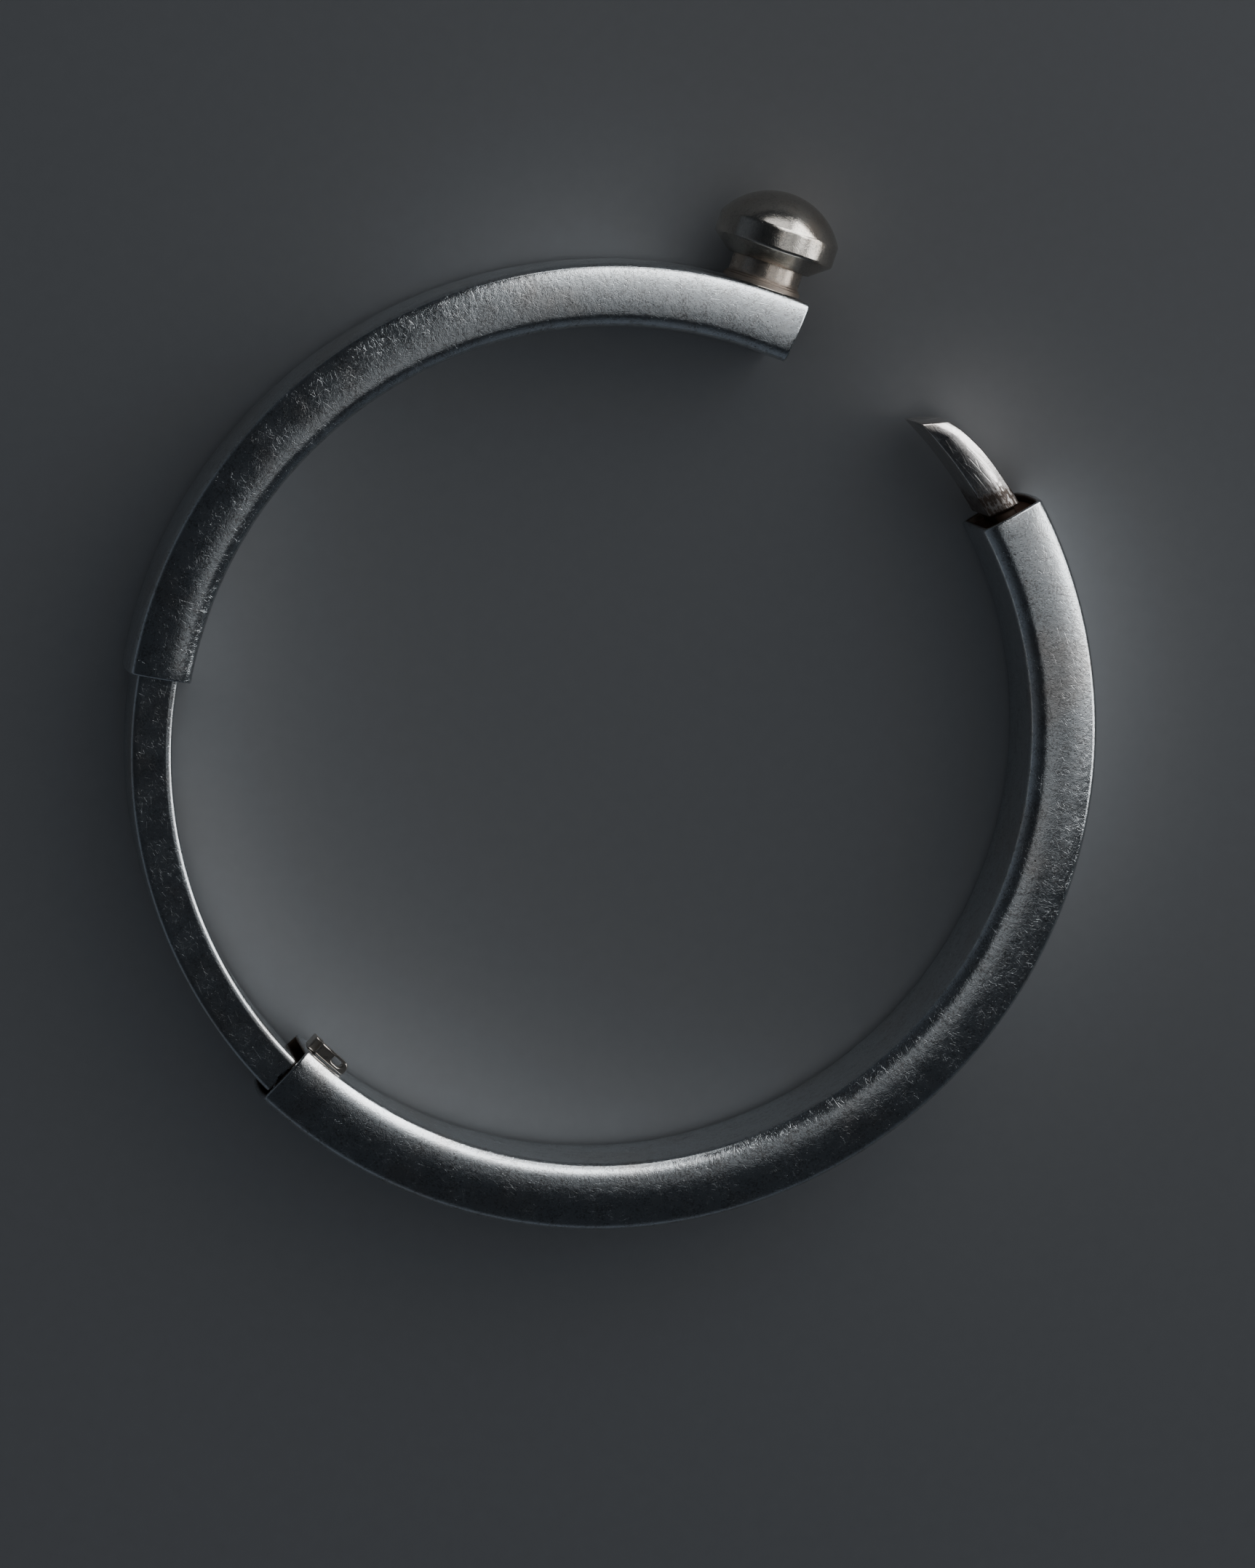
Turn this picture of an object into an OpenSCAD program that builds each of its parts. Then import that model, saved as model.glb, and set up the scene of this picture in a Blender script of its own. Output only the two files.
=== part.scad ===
// Hinged bangle in satin silver, lying on its side.
// The ring lies in the XY plane with its lower edge at z = 0, and +Z runs along the wrist.
// The origin is the centre of the tube's arc. Angles are measured from +X towards +Y.

/* [Band] */
// Width of the band along the wrist
band_w = 9; // [8.6:0.1:11]
// Thickness of the sheet that the hollow pieces are folded from
sheet_t = 0.45; // [0.4:0.05:0.5]
// How far the front and back faces swell outwards
face_crown = 0.3; // [0.1:0.05:0.4]
// How far the outer wall swells outwards
side_crown = 0.2; // [0.1:0.05:0.4]
// Rounding of the edges next to the wrist
inner_round = 0.9; // [0.6:0.1:1.2]
// Rounding of the outer edges
outer_round = 0.6; // [0.3:0.1:0.8]

/* [Tube] */
// Radius of the tube's inner wall
tube_inner_r = 29.65; // [29.4:0.05:30]
// Radial thickness of the tube
tube_t = 4.8; // [4.75:0.05:5.2]
// Direction of the tube's mouth, where the tongue stands out
mouth_a = 28.6; // [27:0.1:29]
// Direction of the tube's other end, where the bar is hinged
hinge_end_a = -133.8; // [-135:0.1:-133]

/* [Tongue] */
// Radius of the tongue's inner face
tongue_inner_r = 30.65; // [30.5:0.05:30.9]
// Width of the tongue along the wrist
tongue_w = 6.8; // [5.5:0.1:7]
// Rounding of the tongue's two outer long edges
tongue_round = 0.45; // [0.2:0.05:0.6]
// Angle that the tongue's root fills inside the tube
root_span = 10; // [6:1:14]

/* [Arm] */
// Sideways offset of the arm's arc from the tube's arc
arm_x = 0.35; // [0.2:0.05:0.5]
// Offset of the arm's arc towards the tube's lower side
arm_y = -1.1; // [-1.15:0.05:-0.95]
// Radius of the sleeve's inner wall, from the arm's own centre
sleeve_inner_r = 29.4; // [29.3:0.05:29.5]
// Radial thickness of the sleeve
sleeve_t = 4.45; // [4.4:0.05:4.5]
// Direction of the sleeve's free end, from the arm's centre
sleeve_from = 66.5; // [64:0.5:68]
// Angle that the sleeve covers
sleeve_span = 103.7; // [100:0.1:105]
// Radial thickness of the bar
bar_t = 2.9; // [2.6:0.1:2.9]
// Width of the bar along the wrist
bar_w = 7.4; // [6.5:0.1:7.5]
// Rounding of the bar's edges next to the wrist
bar_round = 0.4; // [0.25:0.05:0.5]
// Direction of the bar's hidden end inside the sleeve
bar_from = 122; // [121:1:128]

/* [Hinge] */
// Direction of the hinge pin from the arm's centre
pin_a = 226.2; // [226:0.1:226.5]
// Diameter of the hinge pin
pin_d = 1.2; // [1:0.1:1.4]
// Running clearance around the hinge pin
pin_gap = 0.05; // [0.03:0.01:0.1]

/* [Button] */
// Direction of the push button from the arm's centre
button_a = 71.65; // [71:0.05:74]
// Diameter of the button's head
head_d = 8.5; // [7:0.1:8.6]
// Height of the head's straight band
head_band_h = 1.45; // [1:0.05:1.8]
// Height of the dome above the band
dome_h = 2.55; // [2:0.05:3]
// Height of the cone under the band
cone_h = 1.05; // [0.8:0.05:1.2]
// Rounding between the band and the cone
rim_round = 0.35; // [0.2:0.05:0.5]
// Rounding between the band and the dome
shoulder_round = 1; // [0.5:0.1:1.5]
// Height of the head's lowest edge above the sleeve
head_lift = 1.5; // [1.4:0.05:1.8]
// Diameter of the fixed post under the head
post_d = 5; // [4.4:0.1:5]

/* [Safety eye] */
// Direction of the eye's foot on the tube's inner wall
eye_a = -131.9; // [-132.5:0.1:-131]
// Length of the eye plate along the wall
eye_len = 2.1; // [1.8:0.1:2.4]

/* [Hidden] */
silver = [0.72, 0.72, 0.71];
dark_silver = [0.5, 0.46, 0.42];
fine = 96;
hair = 0.02;
mid_z = band_w / 2;
tube_outer_r = tube_inner_r + tube_t;
tube_span = mouth_a - hinge_end_a;
sleeve_outer_r = sleeve_inner_r + sleeve_t;
bar_mid_r = sleeve_inner_r + sleeve_t / 2 + 0.03;
arm_at = [arm_x, arm_y, 0];
pin_r = pin_d / 2;
pin_at = arm_at + bar_mid_r * [cos(pin_a), sin(pin_a), 0];
bar_low = mid_z - bar_w / 2;
// The tongue's outer face runs just inside the sleeve's hollow when the sleeve is pushed over it.
tongue_outer_r = sleeve_outer_r - sheet_t - 0.18;
tongue_low = mid_z - tongue_w / 2;
// The tongue's tip is cut straight across, and a slope leads up to its outer face.
tip_inner = [22.16, 21.49];
tip_outer = [23.95, 21.69];
slope_foot = [25.7, 20.35];
root_gap = 0.04;
root_depth_a = 2.2;
// The button's heights are measured along its own axis, from the sleeve's outer wall.
post_h = 2.1;
post_r = post_d / 2;
post_sink = 0.35;
collar_h = 0.16;
collar_step = 0.13;
shaft_r = 1.1;
shaft_gap = 0.05;
head_r = head_d / 2;
cap_bore_r = post_r + 2 * collar_step + 0.06;
cap_rim_r = cap_bore_r + 0.08;
cap_bore_top = post_h + 1.5;
shaft_tip = 0.8;
dome_r = (head_r * head_r + dome_h * dome_h) / (2 * dome_h);
rim_h = head_lift + cone_h;
dome_base = rim_h + head_band_h;
dome_at = dome_base + dome_h - dome_r;
// The rim's rounding touches the band and the cone, and the shoulder's touches the band and the dome.
cone_a = atan2(cone_h, head_r - cap_rim_r);
rim_at = [head_r - rim_round, rim_h + rim_round * (1 - sin(cone_a)) / cos(cone_a)];
rim_touch = rim_at + rim_round * [sin(cone_a), -cos(cone_a)];
shoulder_x = head_r - shoulder_round;
shoulder_at = [shoulder_x, dome_at + sqrt(pow(dome_r - shoulder_round, 2) - pow(shoulder_x, 2))];
shoulder_touch = [0, dome_at] + (shoulder_at - [0, dome_at]) * dome_r / (dome_r - shoulder_round);
// The eye plate stands a little off the wall on its foot.
eye_off = 0.15;
eye_t = 1;
eye_w = 1.1;
eye_low = 7;
foot_len = 0.8;
foot_w = 2.2;
foot_rise = 0.25;
eye_hole = [0.74, 1.05];
eye_round = 0.3;

// Radius of an arc with a given half chord and rise
function arc_r(half, rise) = (half * half + rise * rise) / (2 * rise);

// Rectangle in the radius and z plane with one rounding inside and one outside
module rounded_box(r1, r2, z1, z2, round_in, round_out) {
    translate([r1 + round_in, z1])
        square([r2 - round_out - r1 - round_in, z2 - z1]);
    translate([r1, z1 + round_in])
        square([round_in + hair, z2 - z1 - 2 * round_in]);
    translate([r2 - round_out - hair, z1 + round_out])
        square([round_out + hair, z2 - z1 - 2 * round_out]);
    for (z = [z1 + round_in, z2 - round_in])
        translate([r1 + round_in, z])
            circle(r = round_in, $fn = fine);
    for (z = [z1 + round_out, z2 - round_out])
        translate([r2 - round_out, z])
            circle(r = round_out, $fn = fine);
}

// Cross-section of the band, swollen on its faces and outer wall, drawn inwards by an inset
module band_section(inner_r, t, inset) {
    r1 = inner_r + inset;
    r2 = inner_r + t - inset;
    mid_r = inner_r + t / 2;
    face_r = arc_r(t / 2, face_crown) - inset;
    side_r = arc_r(mid_z, side_crown) - inset;
    intersection() {
        rounded_box(r1, r2, inset, band_w - inset,
            max(inner_round - inset, 0.25), max(outer_round - inset, 0.2));
        translate([mid_r, band_w - inset - face_r])
            circle(r = face_r, $fn = fine * 2);
        translate([mid_r, inset + face_r])
            circle(r = face_r, $fn = fine * 2);
        translate([r2 - side_r, mid_z])
            circle(r = side_r, $fn = fine * 4);
    }
}

// Hollow arc of the band, open at both ends
module hollow_arc(inner_r, t, from_a, span) {
    rotate([0, 0, from_a])
        rotate_extrude(angle = span, $fn = fine * 2)
            difference() {
                band_section(inner_r, t, 0);
                band_section(inner_r, t, sheet_t);
            }
}

module tube() {
    color(silver)
        hollow_arc(tube_inner_r, tube_t, hinge_end_a, tube_span);
}

// Side view of the tongue, seen along the wrist
module tongue_outline() {
    intersection() {
        difference() {
            translate([arm_x, arm_y])
                circle(r = tongue_outer_r, $fn = fine * 4);
            circle(r = tongue_inner_r, $fn = fine * 4);
        }
        polygon([
            tongue_inner_r * 0.97 * [cos(mouth_a - root_depth_a - 1), sin(mouth_a - root_depth_a - 1)],
            tongue_outer_r * 1.03 * [cos(mouth_a - root_depth_a - 1), sin(mouth_a - root_depth_a - 1)],
            slope_foot + 2.2 * (slope_foot - tip_outer),
            slope_foot,
            tip_outer,
            tip_inner,
            tip_inner - [0.9, 0.1]
        ]);
    }
}

// Solid blade of the tongue, with its outer long edges rounded
module tongue_blade() {
    intersection() {
        translate([0, 0, tongue_low])
            linear_extrude(tongue_w)
                tongue_outline();
        translate(arm_at)
            rotate([0, 0, mouth_a - 15])
                rotate_extrude(angle = 45, $fn = fine * 2)
                    rounded_box(tongue_inner_r - 3, tongue_outer_r, tongue_low, tongue_low + tongue_w,
                        hair, tongue_round);
    }
}

module tongue() {
    color(silver)
        union() {
            tongue_blade();
            rotate([0, 0, mouth_a - root_depth_a - root_span])
                rotate_extrude(angle = root_span, $fn = fine * 2)
                    band_section(tube_inner_r, tube_t, sheet_t + root_gap);
        }
}

module hinge_pin() {
    color(dark_silver)
        translate([pin_at[0], pin_at[1], sheet_t + face_crown * 0.1 + 0.03])
            cylinder(r = pin_r, h = band_w - 2 * (sheet_t + face_crown * 0.1 + 0.03), $fn = fine);
}

// Oval hole of the eye, long along the wall
module eye_opening() {
    reach = (eye_hole[1] - eye_hole[0]) / 2;
    translate([-eye_hole[0] / 2, -reach])
        square([eye_hole[0], 2 * reach]);
    for (side = [-1, 1])
        translate([0, side * reach])
            circle(d = eye_hole[0], $fn = fine);
}

module safety_eye() {
    plate_r = tube_inner_r - eye_off - eye_t;
    color(dark_silver)
        rotate([0, 0, eye_a])
            union() {
                translate([plate_r, 0, eye_low])
                    difference() {
                        union() {
                            cube([eye_t, eye_len - eye_round, eye_w]);
                            translate([eye_round, 0, 0])
                                cube([eye_t - 2 * eye_round, eye_len, eye_w]);
                            for (r = [eye_round, eye_t - eye_round])
                                translate([r, eye_len - eye_round, 0])
                                    cylinder(r = eye_round, h = eye_w, $fn = fine);
                        }
                        translate([eye_t / 2, eye_len - 0.22 - eye_hole[1] / 2, -hair])
                            linear_extrude(eye_w + 2 * hair)
                                eye_opening();
                    }
                translate([plate_r, -foot_len, eye_low + eye_w + foot_rise - foot_w])
                    cube([eye_t + eye_off - 0.03, foot_len + hair, foot_w]);
            }
}

// Solid bar with eased long edges, on the arm's arc
module bar_arc() {
    outer_ease = 0.25;
    r1 = bar_mid_r - bar_t / 2;
    translate(arm_at)
        rotate([0, 0, bar_from])
            rotate_extrude(angle = pin_a - bar_from, $fn = fine * 2)
                rounded_box(r1, r1 + bar_t, bar_low, bar_low + bar_w, bar_round, outer_ease);
}

module bar() {
    color(silver)
        difference() {
            union() {
                bar_arc();
                translate([pin_at[0], pin_at[1], bar_low])
                    cylinder(d = bar_t, h = bar_w, $fn = fine);
            }
            translate([pin_at[0], pin_at[1], bar_low - 1])
                cylinder(r = pin_r + pin_gap, h = bar_w + 2, $fn = fine);
        }
}

// Moves a shape built along +Z from its base onto the sleeve's outer wall, at the button
module at_button() {
    translate(arm_at + [0, 0, mid_z])
        rotate([0, 90, button_a])
            translate([0, 0, sleeve_outer_r])
                children();
}

module sleeve() {
    color(silver)
        difference() {
            union() {
                translate(arm_at)
                    hollow_arc(sleeve_inner_r, sleeve_t, sleeve_from, sleeve_span);
                at_button() {
                    translate([0, 0, -post_sink])
                        cylinder(r = post_r, h = post_h + post_sink, $fn = fine);
                    for (step = [1, 2])
                        translate([0, 0, -post_sink])
                            cylinder(r = post_r + step * collar_step,
                                h = post_sink + (3 - step) * collar_h, $fn = fine);
                }
            }
            at_button()
                translate([0, 0, -2])
                    cylinder(r = shaft_r + shaft_gap, h = post_h + 3, $fn = fine);
        }
}

// Half profile of the head, in the radius and height plane
module head_profile() {
    polygon([
        [0, head_lift],
        [cap_rim_r, head_lift],
        rim_touch,
        [head_r, rim_at[1]],
        [head_r, shoulder_at[1]],
        shoulder_touch,
        [0, shoulder_touch[1]]
    ]);
    translate(rim_at)
        circle(r = rim_round, $fn = fine);
    translate(shoulder_at)
        circle(r = shoulder_round, $fn = fine);
    intersection() {
        translate([0, dome_at])
            circle(r = dome_r, $fn = fine * 2);
        translate([0, shoulder_touch[1] - hair])
            square([head_r, dome_h]);
    }
}

module knob() {
    color(silver)
        at_button()
            union() {
                difference() {
                    rotate_extrude($fn = fine)
                        head_profile();
                    cylinder(r = cap_bore_r, h = cap_bore_top, $fn = fine);
                }
                translate([0, 0, shaft_tip])
                    cylinder(r = shaft_r, h = cap_bore_top - shaft_tip + 0.5, $fn = fine);
            }
}

tube();
tongue();
hinge_pin();
safety_eye();
bar();
sleeve();
knob();
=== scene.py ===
# %% [markdown]
# A hinged silver bangle, from solids to a finished portrait.
#
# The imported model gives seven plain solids: a folded tube, a tongue, a hinge pin, a small eye,
# a thin bar, a sliding sleeve and a push button. This script loads them as a fixed frame and
# dresses each one. Everything is in metres and in the frame of the solids: the bangle lies on
# its side, its lower edge at z = 0, and the origin is the centre of the tube's arc.

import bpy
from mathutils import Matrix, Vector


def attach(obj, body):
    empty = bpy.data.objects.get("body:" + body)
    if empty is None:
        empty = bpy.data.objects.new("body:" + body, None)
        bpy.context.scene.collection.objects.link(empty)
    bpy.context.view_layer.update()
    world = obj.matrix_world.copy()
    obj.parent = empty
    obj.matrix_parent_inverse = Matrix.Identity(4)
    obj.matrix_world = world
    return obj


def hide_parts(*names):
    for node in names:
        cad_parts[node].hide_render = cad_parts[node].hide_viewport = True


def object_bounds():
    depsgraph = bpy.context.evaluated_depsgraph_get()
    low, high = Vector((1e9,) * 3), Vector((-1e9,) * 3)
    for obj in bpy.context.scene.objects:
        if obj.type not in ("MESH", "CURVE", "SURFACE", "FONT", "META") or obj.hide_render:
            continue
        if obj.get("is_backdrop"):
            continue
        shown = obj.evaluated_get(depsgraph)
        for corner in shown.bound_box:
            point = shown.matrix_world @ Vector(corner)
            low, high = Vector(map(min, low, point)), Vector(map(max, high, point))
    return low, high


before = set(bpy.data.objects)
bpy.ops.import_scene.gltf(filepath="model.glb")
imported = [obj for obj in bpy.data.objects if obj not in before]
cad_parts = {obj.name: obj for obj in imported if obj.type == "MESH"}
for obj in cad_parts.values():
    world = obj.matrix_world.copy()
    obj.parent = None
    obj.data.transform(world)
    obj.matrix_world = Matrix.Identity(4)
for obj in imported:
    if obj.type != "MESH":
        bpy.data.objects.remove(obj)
cad_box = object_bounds()

# %% [markdown]
# The sizes are in millimetres, as on a jeweller's gauge, and nearly all are the values that
# drive the solids. Only the edges differ: here they are crisper, and the inner ones have the
# shallow bevel that years on a wrist have worn. The tube's arc is centred on the origin. The
# arm's arc, which the bar and the sleeve share, is centred a little lower. In a name, R is a
# radius, T a thickness, W a width and A an angle in degrees.

# %% Sizes in millimetres
import math

import bmesh
import bpy
import numpy as np
from mathutils import Matrix, Vector

MM = 0.001
IN_MM = 1 / MM
BAND_W = 9.0
SHEET_T = 0.45
FACE_CROWN = 0.3
SIDE_CROWN = 0.2
INNER_ROUND = 0.14
BEVEL_FALL = 0.3
BEVEL_REACH = 0.8
TUBE_BEVEL_FALL = 0.35
TUBE_BEVEL_REACH = 1.05
OUTER_ROUND = 0.4
TUBE_R = 29.65
TUBE_T = 4.8
MOUTH_A = 28.6
HINGE_END_A = -133.8
ARM_AT = (0.35, -1.1)
SLEEVE_R = 29.4
SLEEVE_T = 4.45
SLEEVE_FROM = 66.5
SLEEVE_SPAN = 103.7
BAR_T = 2.9
BAR_W = 7.4
BAR_ROUND = 0.4
BAR_FROM = 122.0
BAR_OFF_MIDDLE = 0.03
BAR_MID_R = SLEEVE_R + SLEEVE_T / 2 + BAR_OFF_MIDDLE
PIN_A = 226.2
BUTTON_A = 71.65
MID_Z = BAND_W / 2
print(f"band {BAND_W} mm wide, {2 * TUBE_R} mm across inside")

# %% [markdown]
# The camera stands where the photographer's lens stood: 460 mm from the bangle, almost
# straight above it, and leaning a little so that the inner wall shows at the lower right.
# A long lens keeps the ring round. Of the picture's 1725 pixels, 19.64 show one millimetre.

# %% Camera
PHOTO_W = 1725
PIXELS_PER_MM = 19.64
CAMERA_MM = 460.0
TILT = math.radians(10.3)
LEAN = math.radians(-40.0)
FRAMING_MM = Vector((-2.54, 4.11, 0.0))  # from the bangle's place to the picture's middle
SENSOR_MM = 36.0


def placed(name, data):
    thing = bpy.data.objects.new(name, data)
    bpy.context.scene.collection.objects.link(thing)
    return thing


tilt_axis = Vector((-math.sin(LEAN), math.cos(LEAN), 0.0))
to_bangle = Matrix.Rotation(TILT, 3, tilt_axis).transposed()
camera_data = bpy.data.cameras.new("portrait_camera")
camera_data.sensor_fit = "HORIZONTAL"
camera_data.sensor_width = SENSOR_MM
camera_data.lens = SENSOR_MM * PIXELS_PER_MM * CAMERA_MM / PHOTO_W
camera_data.clip_start = 0.01
camera = placed("portrait_camera", camera_data)
stand = to_bangle @ (Vector((0.0, 0.0, CAMERA_MM)) - FRAMING_MM)
camera.matrix_world = Matrix.Translation(stand * MM) @ to_bangle.to_4x4()
bpy.context.scene.camera = camera
print("camera at", tuple(round(v, 1) for v in stand), "mm, lens", round(camera_data.lens, 1))

# %% [markdown]
# Shapes and finishes are both written as node trees, and trees are easier to read as sums.
# A Wire holds one output socket, so that a + b, 1 - a or a < b adds the Math node it needs.

# %% Nodes written as sums
def operator(operation, flip=False):
    """A method that adds one Math node."""
    return lambda self, *others: self.maths(operation, *others, flip=flip)


class Wire:
    """One output of a node tree, which can be used in sums."""

    __add__ = __radd__ = operator("ADD")
    __sub__ = operator("SUBTRACT")
    __rsub__ = operator("SUBTRACT", flip=True)
    __mul__ = __rmul__ = operator("MULTIPLY")
    __truediv__ = operator("DIVIDE")
    __pow__ = operator("POWER")
    __lt__ = operator("LESS_THAN")
    __gt__ = operator("GREATER_THAN")
    __abs__ = operator("ABSOLUTE")

    def __init__(self, graph, socket):
        self.graph = graph
        self.socket = socket

    def maths(self, operation, *others, flip=False):
        values = (*others, self) if flip else (self, *others)
        return self.graph.node("ShaderNodeMath", {"operation": operation}, dict(enumerate(values)))

    def ramp(self, low, high):
        """0 below low and 1 above high, with a soft rise between them."""
        return self.graph.node("ShaderNodeMapRange", {"interpolation_type": "SMOOTHSTEP"},
                               {"Value": self, "From Min": low, "From Max": high})


print("Wire is ready")

# %% [markdown]
# A Graph holds one tree, and its node() method adds any other node from its type, its
# settings and the values or wires of its sockets. feed() hands a wire to a node already there.

# %% Trees of nodes
class Graph:
    """One node tree."""

    def __init__(self, tree):
        self.tree = tree

    def node(self, kind, settings=None, inputs=None, out=0):
        made = self.tree.nodes.new(kind)
        for name, value in (settings or {}).items():
            setattr(made, name, value)
        for key, value in (inputs or {}).items():
            socket = self.pick(made.inputs, key)
            if isinstance(value, Wire):
                self.tree.links.new(value.socket, socket)
            else:
                socket.default_value = value
        return Wire(self, self.pick(made.outputs, out))

    def pick(self, sockets, key):
        ready = [s for s in sockets if s.enabled]
        return ready[key] if isinstance(key, int) else next(s for s in ready if s.name == key)

    def feed(self, wire, target, label):
        self.tree.links.new(wire.socket, target.inputs[label])

    def split(self, vector):
        made = self.node("ShaderNodeSeparateXYZ", None, {0: vector}).socket.node
        return [Wire(self, socket) for socket in made.outputs]

    def join(self, x, y, z):
        return self.node("ShaderNodeCombineXYZ", None, {"X": x, "Y": y, "Z": z})


def new_tree(name, kind, takes, gives):
    """An empty tree with named inputs, and the wires that those inputs feed."""
    tree = bpy.data.node_groups.new(name, kind)
    for direction, sockets in (("INPUT", takes), ("OUTPUT", gives)):
        for label, socket_type in sockets.items():
            tree.interface.new_socket(label, in_out=direction, socket_type="NodeSocket" + socket_type)
    graph = Graph(tree)
    source = tree.nodes.new("NodeGroupInput")
    return graph, {s.name: Wire(graph, s) for s in source.outputs if s.name}


print("Graph is ready")

# %% [markdown]
# Worn silver is never one even grey. Short hairlines at every angle, a skin of tiny dimples, a
# few pits and warm clouds of tarnish show on it. A picture of scratches would blur when the
# camera comes near, so they are worked out: each cell of a slanted grid holds one straight
# scratch with its own place, slope, length and depth. Every piece carries two measures of its
# own surface in millimetres, "along" and "across", so that marks follow the metal round a bend.

# %% Hairline scratches
THINNEST_HAIR = 0.012  # mm
HAIR_WIDENS = 0.022  # mm more for the widest
SHORTEST_HALF = 0.08  # half length, as a share of a cell
HALF_GROWS = 0.38  # share more for the longest
ROW_STAGGER = 7  # how many cells two rows can be out of step
PLACE_SPREAD = 0.7  # how far a scratch strays from its row's middle
SLOPE_SPREAD = 0.8  # how far it leans
LINE_EDGE = (0.35, 1.0)  # where a scratch fades, as shares of its half width
HAIR_END = 0.08  # where it fades lengthways, as a share of a cell
FAINTEST = (0.4, 1.05)  # random depths below the first don't show


def make_hairlines():
    labels = ("Along", "Across", "Turn", "Length", "Spacing", "Seed")
    g, take = new_tree("hairlines", "ShaderNodeTree", dict.fromkeys(labels, "Float"), {"Mark": "Float"})
    cosine = take["Turn"].maths("COSINE")
    sine = take["Turn"].maths("SINE")
    u = take["Along"] * cosine + take["Across"] * sine
    v = (take["Across"] * cosine - take["Along"] * sine) / take["Spacing"]
    row = v.maths("FLOOR")
    stagger = g.node("ShaderNodeTexWhiteNoise", {"noise_dimensions": "2D"},
                     {"Vector": g.join(row, take["Seed"], 0.0)}, out="Value")
    step = u / take["Length"] + stagger * ROW_STAGGER
    cell = g.join(row, step.maths("FLOOR"), take["Seed"])
    chance = g.node("ShaderNodeTexWhiteNoise", {"noise_dimensions": "3D"}, {"Vector": cell}, out="Color")
    place, slope, depth = g.split(chance)
    forward = step.maths("FRACT") - 0.5
    lean = (slope - 0.5) * forward * SLOPE_SPREAD
    sideways = v.maths("FRACT") - 0.5 - (place - 0.5) * PLACE_SPREAD - lean
    off_line = abs(sideways) * take["Spacing"]
    width = THINNEST_HAIR + depth * HAIR_WIDENS
    half_length = SHORTEST_HALF + slope * HALF_GROWS
    mark = (1 - (off_line / width).ramp(*LINE_EDGE)) * (half_length - abs(forward)).ramp(0.0, HAIR_END)
    sink = g.tree.nodes.new("NodeGroupOutput")
    g.feed(mark * depth.ramp(*FAINTEST), sink, "Mark")
    return g.tree


hairlines = make_hairlines()
print("hairlines:", len(hairlines.nodes), "nodes")

# %% [markdown]
# What a mark looks like is a matter of a few numbers, so they stand in tables. Everyday
# scratches run at all angles and are short; the strokes of a file on the tongue run along it
# and are long. Pits come in two sizes.

# %% Marks as tables
SCRATCH_LAYERS = (
    # turn in degrees, length of a cell and spacing of the rows in mm, seed
    (24.0, 0.6, 0.13, 1.0),
    (-40.0, 0.5, 0.14, 2.0),
    (68.0, 0.55, 0.13, 3.0),
    (-74.0, 0.8, 0.17, 4.0),
    (-9.0, 1.6, 0.4, 5.0),
    (81.0, 1.9, 0.5, 6.0),
)
FILE_STROKES = (
    # the same columns, for the marks of a file
    (4.0, 4.0, 0.3, 6.0),
    (-7.0, 3.2, 0.36, 7.0),
    (12.0, 3.0, 0.5, 8.0),
    (-2.0, 5.0, 0.42, 9.0),
)
PITS = (
    # cells in a millimetre, share of the cells without a pit, depth in micrometres
    (2.3, 0.65, 6.0),
    (5.3, 0.45, 5.0),
)
TARNISH = (0.60, 0.49, 0.40, 1.0)
PIT_DIRT = (0.2, 0.17, 0.15, 1.0)
SPECK_GREY = (0.38, 0.37, 0.36, 1.0)
print(len(SCRATCH_LAYERS), "layers of scratches,", len(FILE_STROKES), "of file strokes")

# %% [markdown]
# Each kind of mark gets a function of its own. A noise that is stretched along one direction
# makes the fine fibres that a cloth leaves, and a cell pattern makes the pits: a cell holds a
# dent where its own random number says so.

# %% Scratches, fibres and pits
FIBRE_ALONG = 1.4  # fibres in a millimetre, lengthways
FIBRE_ACROSS = 11.0  # and sideways
SMALLEST_PIT = 0.06  # radius as a share of a cell
PIT_GROWS = 0.14  # share more for the widest
PIT_EDGE = 0.09


def surface_measure(g, name):
    return g.node("ShaderNodeAttribute", {"attribute_name": name, "attribute_type": "GEOMETRY"}, out="Fac")


def mix_colour(g, amount, first, second):
    return g.node("ShaderNodeMix", {"data_type": "RGBA"}, {"Factor": amount, "A": first, "B": second})


def noise_in(g, in_mm):
    """Gives back a noise function that reads millimetres, or any other vector handed to it."""
    def noise(scale, detail=2.0, rough=0.5, vector=in_mm):
        return g.node("ShaderNodeTexNoise", None,
                      {"Vector": vector, "Scale": scale, "Detail": detail, "Roughness": rough}, out="Fac")
    return noise


def scratched(g, along, across, layers, noise):
    """Hairlines of every layer, stronger in some places than in others."""
    marks = 0.0
    for turn, length, spacing, seed in layers:
        marks = g.node("ShaderNodeGroup", {"node_tree": hairlines},
                       {"Along": along, "Across": across, "Turn": math.radians(turn),
                        "Length": length, "Spacing": spacing, "Seed": seed}) + marks
    return marks * (0.5 + noise(0.7, 2.0, 0.6).ramp(0.4, 0.62) * 0.6)


def brushed(g, along, across, turns, patches, noise):
    """Fibres at one turn inside the patches and at the other turn outside them."""
    fibres = []
    for turn, shift in zip(turns, (0.0, 37.0)):
        c, s = math.cos(math.radians(turn)), math.sin(math.radians(turn))
        u = along * (c * FIBRE_ALONG) + across * (s * FIBRE_ALONG) + shift
        v = across * (c * FIBRE_ACROSS) - along * (s * FIBRE_ACROSS)
        fibres.append(noise(1.0, 2.0, 0.6, g.join(u, v, 0.0)))
    return fibres[0] * patches + fibres[1] * (1 - patches)


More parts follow.
